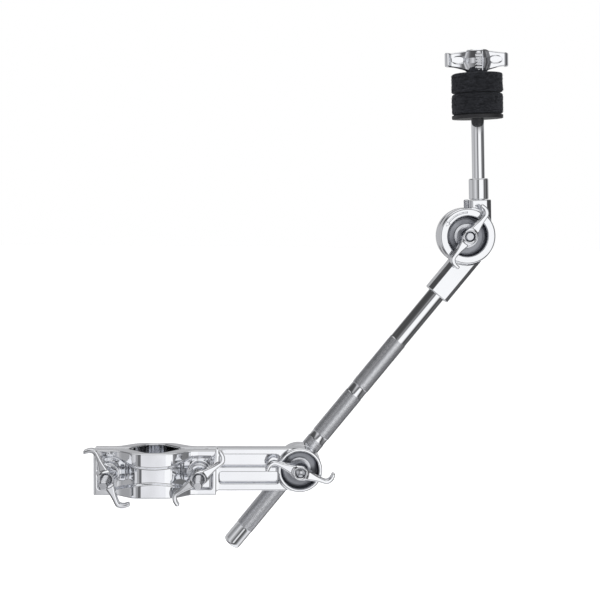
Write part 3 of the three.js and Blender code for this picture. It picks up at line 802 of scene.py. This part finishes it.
# ---------------------------------------------------------------- bolts and washers
def carriage_bolt(name, head_back, head_front, tip, thread_from, place, body, node):
    """A domed bolt with its head behind and its threaded tip in front, without its square neck."""
    dome = [(0.0, -head_back)]
    for a in np.linspace(0, math.pi / 2, 12)[1:-1]:
        rise = (head_back - head_front) * math.cos(a) * 0.8
        dome.append((BOLT_HEAD_RADIUS * math.sin(a), -head_front - rise))
    rows, cut = threaded(-thread_from, -tip - 0.9, BOLT_RADIUS, THREAD_PITCH, THREAD_DEPTH)
    profile = eased(dome + [(BOLT_HEAD_RADIUS, -head_front), (3.1, -head_front),
                            (BOLT_RADIUS, -head_front + 0.4)], 0.2)
    profile += rows + [(2.75, -tip - 0.5), (2.2, -tip), (1.2, -tip), (0.0, -tip)]
    lathe(name, profile, 40, place.of(Place(FRONTWARD)), ZINC, body, [node], cut)


carriage_bolt("bolt_jaw_left", 11, 7.8, -42, 1.0, Place(at=(-JAW_BOLT_X, 0, 0)), "clamp",
              "jaw_bolt_left")
carriage_bolt("bolt_jaw_right", 11, 7.8, -42, 1.0, Place(at=(JAW_BOLT_X, 0, 0)), "clamp",
              "jaw_bolt_right")
carriage_bolt("bolt_tilter", 37, 33.5, 7.4, 24, TILTER, "tilter_base", "tilter_bolt")


def washer(name, outer, inner, low, high, place, material, body, node):
    profile = eased([(inner, low), (outer, low), (outer, high), (inner, high), (inner, low)], 0.25)
    lathe(name, profile, 72, place, material, body, [node])


for side, x in (("left", -JAW_BOLT_X), ("right", JAW_BOLT_X)):
    washer("washer_jaw_" + side, 6.4, 3.3, 9.8, 11.0, Place(FRONTWARD, (x, 0, 0)), ZINC, "jaw",
           "jaw_washer_" + side)
washer("washer_pivot", 7.5, 3.3, -6.4, -5.2, Place(FRONTWARD, (PIVOT_X, 0, 0)), ZINC,
       "pivot_spacer", "pivot_washer")
washer("washer_tilter", 8.2, 3.3, -21.7, -20.5, TILTER.of(Place(FRONTWARD)), ZINC,
       "tilter_spacer", "tilter_washer")
washer("friction_washer", 17.0, 3.5, -26.2, -25.2, TILTER.of(Place(FRONTWARD)), NYLON,
       "tilter_base", "tilter_friction_washer")


# ---------------------------------------------------------------- swivel
ROD_DIRECTION = BOOM.turn[:, 2]
ROD_ACROSS = BOOM.turn[:, 0]


def swivel_disc_distance(x, y, z):
    radius = np.sqrt(x * x + z * z)
    body = smax(radius - PAD_RADIUS, slab(y, SWIVEL_FRONT, SWIVEL_BACK), 1.2)
    across = x * ROD_ACROSS[0] + z * ROD_ACROSS[2]
    along = x * ROD_DIRECTION[0] + z * ROD_DIRECTION[2]
    trough = np.sqrt(across**2 + (y - ROD_PLANE) ** 2) - 6.7
    well = np.maximum(np.maximum(np.abs(across) - 10.8, np.abs(along) - 7.7), 13.2 - y)
    body = smax(body, -trough, 0.7)
    body = smax(body, -well, 0.5)
    return smax(body, -(radius - BOLT_HOLE + 0 * y), 0.3)


sculpt("swivel_casting", swivel_disc_distance, (-16, 10.5, -16), (16, 23, 16), 0.36, SWIVEL, CAST,
       "swivel", ["swivel_disc"])


def eye_distance(x, y, z):
    across = x * ROD_ACROSS[0] + z * ROD_ACROSS[2]
    along = x * ROD_DIRECTION[0] + z * ROD_DIRECTION[2]
    radius = np.sqrt(across**2 + (y - ROD_PLANE) ** 2)
    body = smax(radius - EYE_RADIUS, np.abs(along) - EYE_HALF_LENGTH, 2.4)
    stem = smax(np.sqrt(x * x + z * z) - BOLT_RADIUS + 0 * y, slab(y, -1.0, 20), 0.3)
    body = smin(body, stem, 1.4)
    return smax(body, -(radius - EYE_BORE), 0.6)


sculpt("eye_casting", eye_distance, (-14, -2, -14), (14, 36.5, 14), 0.34, SWIVEL, ZINC, "swivel",
       ["eye_bolt"])
stem_rows, stem_cut = threaded(0.6, 7.2, BOLT_RADIUS, THREAD_PITCH, THREAD_DEPTH)
stem_profile = [(0.0, 0.4), (2.4, 0.4)] + stem_rows
stem_profile += [(2.6, 7.4), (1.4, 7.9), (1.2, 8.0), (0.0, 8.0)]
lathe("eye_stem_thread", stem_profile, 40, Place(FRONTWARD, (PIVOT_X, 0, 0)), ZINC, "swivel",
      [], stem_cut)


# ---------------------------------------------------------------- boom rod
KNURL_BANDS = ((-57, 19.9), (23.9, 59.7), (65.8, 106.3))


def knurl(angle, z, r):
    """A diamond knurl: two crossing sets of helical grooves, faded out at each band's ends."""
    teeth = 40
    lead = 2 * math.pi * 6.3
    a = (angle / (2 * math.pi) * teeth + z / lead * teeth * 0.8) % 1.0
    b = (angle / (2 * math.pi) * teeth - z / lead * teeth * 0.8) % 1.0
    cut = np.minimum(0.5 - np.abs(a - 0.5), 0.5 - np.abs(b - 0.5))
    change = np.zeros_like(z)
    for low, high in KNURL_BANDS:
        fade = np.clip((z - low) / 0.5, 0, 1) * np.clip((high - z) / 0.5, 0, 1)
        change = np.where((z > low) & (z < high), (0.16 * np.clip(cut * 2.4, 0, 1) + 0.06) * fade, change)
    return change


rod_profile = [
    (0.0, ROD_LOW), (3.0, ROD_LOW), (4.4, ROD_LOW + 0.1), (5.2, ROD_LOW + 0.5),
    (5.75, ROD_LOW + 1.2), (5.95, ROD_LOW + 2.0), (ROD_RADIUS, ROD_LOW + 3.0),
]
for low, high in KNURL_BANDS:
    rod_profile += [(ROD_RADIUS, low - 0.25), (6.02, low)]
    rod_profile += [(ROD_RADIUS, z) for z in np.arange(low + 0.13, high, 0.2)]
    rod_profile += [(ROD_RADIUS, high + 0.25)]
rod_profile += [(ROD_RADIUS, 145), (ROD_RADIUS, 167), (5.4, ROD_HIGH), (0.0, ROD_HIGH)]
rod = lathe("boom_rod_knurled", rod_profile, 200, ROD, TUBE, "boom", ["boom_rod"],
            knurl, sharp=60)
rod.data.materials.append(KNURLED)
rod_axis = Vector(ROD_DIRECTION)
rod_from = Vector(ROD.at) * MM
for face in rod.data.polygons:
    along = (face.center - rod_from).dot(rod_axis) / MM
    if any(low < along < high for low, high in KNURL_BANDS):
        face.material_index = 1


# ---------------------------------------------------------------- tilter
def chamfered(x0, x1, y0, y1, cuts, r=0.5):
    """A rectangle's outline with cut corners: cuts are for (x0,y0), (x1,y0), (x1,y1), (x0,y1)."""
    a, b, c, d = cuts
    return rounded([
        (x0, y0 + a, r), (x0 + a, y0, r), (x1 - b, y0, r), (x1, y0 + b, r), (x1, y1 - c, r),
        (x1 - c, y1, r), (x0 + d, y1, r), (x0, y1 - d, r),
    ], 4)


HEAD_SECTION = chamfered(2.6, 17.0, 17, 31, (1.2, 3.6, 1.6, 1.6))
SOCKET_SECTION = chamfered(-8.2, 8.2, 17, 33.2, (2.8, 2.8, 2.8, 2.8))


def tilter_head_distance(x, y, z):
    radius = np.sqrt(x * x + z * z)
    body = smax(radius - TILTER_RADIUS, slab(y, HEAD_FRONT, HEAD_BACK), 1.6)
    block = smax(polygon(HEAD_SECTION, x, y), slab(z, 2, BLOCK_TOP), 0.7)
    body = smin(body, block, 1.0)
    clear = np.maximum(radius - TILTER_CLEARANCE, HEAD_BACK - y)
    body = smax(body, -clear, 0.4)
    body = smax(body, -np.maximum(HEAD_BACK - y, z + 0 * x), 0.4)
    dish = smax(radius - TILTER_DISH_RADIUS, slab(y, 0, TILTER_DISH_FLOOR), 3.0)
    body = smax(body, -dish, 1.0)
    body = smax(body, -(radius - BOLT_HOLE + 0 * y), 0.4)
    post = np.maximum(np.sqrt((x - POST_X) ** 2 + (y - ROD_PLANE) ** 2) - 4.5, 19 - z)
    body = smax(body, -post, 0.4)
    screw = np.maximum(np.sqrt((x - INDEX_SCREW[0]) ** 2 + (y - INDEX_SCREW[1]) ** 2) - 2.3, 14.8 - z)
    body = smax(body, -screw, 0.4)
    # a curved arrow cut into the rim's face, generic, for the way the head tilts
    angle = np.degrees(np.arctan2(z, x))
    line = np.maximum(np.abs(radius - ARROW_LINE_RADIUS) - ARROW_LINE_HALF, np.abs(angle - 117) * 0.28 - 7.6)
    head = np.maximum(
        np.abs(radius - ARROW_HEAD_RADIUS) - np.clip((153 - angle) * 0.2, -2, 1.5),
        (144 - angle) * 0.28,
    )
    mark = np.maximum(np.minimum(line, head), np.abs(y - HEAD_FRONT) - ARROW_DEPTH)
    return smax(body, -mark, 0.15)


head = sculpt("tilter_head_casting", tilter_head_distance, (-20, 14.5, -20), (20, 32, 25), 0.3, HEAD, CAST,
       "mast", ["tilter_head"])
# the tilter head's dish floor: rougher plating and painted shade
dull_floor_painted_shade(head, HEAD, (0, 0, 0), 13.2, 17.2, 23.0)


def tilter_socket_distance(x, y, z):
    dx = x - TILTER_ACROSS
    dz = z - TILTER_ALONG
    radius = np.sqrt(dx * dx + dz * dz)
    plate = smax(radius - TILTER_RADIUS, slab(y, SOCKET_FRONT, SOCKET_BACK), 1.5)
    block = smax(polygon(SOCKET_SECTION, x, y), slab(z, SOCKET_LOW, TILTER_ALONG), 0.7)
    body = smin(block, plate, 0.8)
    body = smax(body, -np.maximum(radius - TILTER_CLEARANCE, y - SOCKET_FRONT), 0.5)
    bore = np.maximum(np.sqrt(x * x + (y - ROD_PLANE) ** 2) - 6.25, z - 168)
    body = smax(body, -bore, 0.5)
    body = smax(body, -(radius - BOLT_HOLE + 0 * y), 0.4)
    square = np.maximum(np.maximum(np.abs(dx), np.abs(dz)) - SQUARE_HALF, 29.4 - y)
    body = smax(body, -square, 0.3)
    screw = np.maximum(np.sqrt(x * x + (z - SET_SCREW_ALONG) ** 2) - 2.8, 29 - y)
    return smax(body, -screw, 0.4)


sculpt("tilter_socket_casting", tilter_socket_distance, (-30.5, 15.5, 145), (10.5, 34.5, 209), 0.34,
       BOOM, CAST, "tilter_base", ["tilter_socket"])


def set_screw_distance(x, y, z):
    body = smax(np.sqrt(x * x + z * z) - 2.5 + 0 * y, slab(y, 31.4, 32.8), 0.3)
    hexagon = np.maximum(np.abs(x), np.abs(x) * 0.5 + np.abs(z) * 0.866) - 1.25
    return smax(body, -np.maximum(hexagon, 31.9 - y), 0.15)


sculpt("set_screw", set_screw_distance, (-3.2, 30.8, -3.2), (3.2, 33.4, 3.2), 0.12,
       BOOM.of(Place(at=(0, 0, SET_SCREW_ALONG))), ZINC, "tilter_base",
       ["socket_set_screw"])

screw_rows, screw_cut = threaded(18.0, 23.2, 1.95, 0.9, 0.35)
lathe("index_screw_thread", [(0.0, 15.2), (1.9, 15.2)] + screw_rows
      + [(1.8, 23.5), (1.5, 23.9), (1.0, 24.15), (0.0, 24.2)], 36,
      HEAD.of(Place(at=(*INDEX_SCREW, 0))), ZINC, "mast", ["index_screw"], screw_cut)


# ---------------------------------------------------------------- cymbal post
lathe("post_collar_turned", eased([(4.5, 24.0), (6.1, 24.0), (6.5, 24.4), (6.5, 37.2), (6.0, 37.8),
      (4.5, 37.8), (4.5, 24.0)], 0.3), 96, POST, TUBE, "mast", ["post_collar"])
post_rows, post_cut = threaded(SEAT_TOP, POST_TOP - 1, 3.95, 1.25, 0.6)
post_profile = [(0.0, 19.3), (3.8, 19.3), (4.2, 19.7), (4.2, 60), (4.2, SEAT_BOTTOM - 0.4)]
post_profile += [(3.95, SEAT_BOTTOM)] + post_rows
post_profile += [(3.2, POST_TOP - 0.1), (2.9, POST_TOP), (0.0, POST_TOP)]
lathe("cymbal_post_turned", post_profile, 64, POST, TUBE, "mast", ["cymbal_post"],
      post_cut)
lathe("seat_washer_cup", eased([(4.3, SEAT_BOTTOM), (9, SEAT_BOTTOM), (16.5, SEAT_BOTTOM - 0.3),
      (16.9, SEAT_BOTTOM + 0.1), (16.9, SEAT_TOP - 0.4), (16.5, SEAT_TOP), (4.3, SEAT_TOP),
      (4.3, SEAT_BOTTOM)], 0.2), 96, POST, NYLON, "mast", ["seat_washer"])
sleeve_foot = LOWER_FELT[0] + 1.2
lathe("post_sleeve_tube", eased([(4.3, LOWER_FELT[0]), (10, LOWER_FELT[0]), (10, sleeve_foot),
      (6.2, sleeve_foot), (6.2, 105), (4.3, 105), (4.3, LOWER_FELT[0])], 0.3), 64, POST, NYLON,
      "mast", ["post_sleeve"])


def felt_ring(name, low, high, recess, seed, body, node):
    """A pressed felt ring: soft edges, an uneven side and loose fibres standing off it."""
    rng = np.random.default_rng(seed)
    outer = FELT_RADIUS
    profile = []
    if recess:
        profile += [(FELT_BORE, low + 1.6), (10.4, low + 1.6), (10.4, low + 0.1)]
    else:
        profile += [(FELT_BORE, low + 0.1)]
    for r in np.linspace(profile[-1][0], outer - FELT_EDGE, 9)[1:]:
        profile.append((r, low))
    for a in np.linspace(0, math.pi / 2, 7)[1:]:
        r = outer - FELT_EDGE + FELT_EDGE * math.sin(a)
        profile.append((r, low + FELT_EDGE - FELT_EDGE * math.cos(a)))
    for z in np.linspace(low + FELT_EDGE, high - FELT_EDGE, 26)[1:]:
        profile.append((outer, z))
    for a in np.linspace(0, math.pi / 2, 7)[1:]:
        r = outer - FELT_EDGE + FELT_EDGE * math.cos(a)
        profile.append((r, high - FELT_EDGE + FELT_EDGE * math.sin(a)))
    for r in np.linspace(outer - FELT_EDGE, FELT_BORE, 10)[1:]:
        profile.append((r, high))
    profile.append(profile[0])
    waves = [(rng.integers(2, 34), rng.uniform(0, 6.28), rng.uniform(0.1, 2.4), rng.uniform(0, 6.28),
              rng.uniform(0.3, 1.0)) for _ in range(26)]

    def rough(angle, z, r):
        total = np.zeros_like(z)
        for count, phase, rise, shift, amount in waves:
            total += amount / (1 + count * 0.12) * np.sin(count * angle + phase) * np.sin(rise * z + shift)
        return np.where(r > 11, 0.13 * total * np.clip((r - 11) / 4, 0, 1), 0)

    obj = lathe(name, profile, 220, POST, FELT, body, [node], rough, sharp=180)
    # loose fibres: thin three-sided hairs along the side, each a little off the surface
    points, faces = [], []
    for _ in range(2600):
        angle = rng.uniform(0, 2 * math.pi)
        z = rng.uniform(low + 0.3, high - 0.3)
        lean = rng.normal(0, 0.6)
        length = rng.uniform(0.5, 1.9)
        lift = rng.uniform(0.02, 0.42)
        width = rng.uniform(0.03, 0.06)
        start = len(points)
        for t in (0.0, 0.5, 1.0):
            a = angle + math.cos(lean) * length * (t - 0.5) / outer
            h = min(max(z + math.sin(lean) * length * (t - 0.5), low + 0.1), high - 0.1)
            past = max(0.0, low + FELT_EDGE - h, h - high + FELT_EDGE)
            edge = FELT_EDGE - math.sqrt(max(0.0, FELT_EDGE**2 - past**2))
            base = outer - edge + float(rough(np.array(angle), np.array(z), np.array(outer)))
            r = base - 0.05 + lift * math.sin(math.pi * t) + lift * 0.35 * t
            for q in range(3):
                w = width * (1 - 0.6 * t)
                b = q * 2.094
                points.append((
                    (r + w * math.cos(b)) * math.cos(a),
                    (r + w * math.cos(b)) * math.sin(a),
                    h + w * math.sin(b),
                ))
        for row in (0, 1):
            for q in range(3):
                p = start + row * 3
                faces.append((p + q, p + (q + 1) % 3, p + 3 + (q + 1) % 3, p + 3 + q))
        faces.append((start + 2, start + 1, start))
        faces.append((start + 6, start + 7, start + 8))
    fuzz = add_piece(name + "_fibres", np.array(points), faces, POST, FELT, body, [])


felt_ring("felt_lower", *LOWER_FELT, True, 11, "mast", "lower_felt")
felt_ring("felt_upper", *UPPER_FELT, False, 12, "top_felt", "upper_felt")
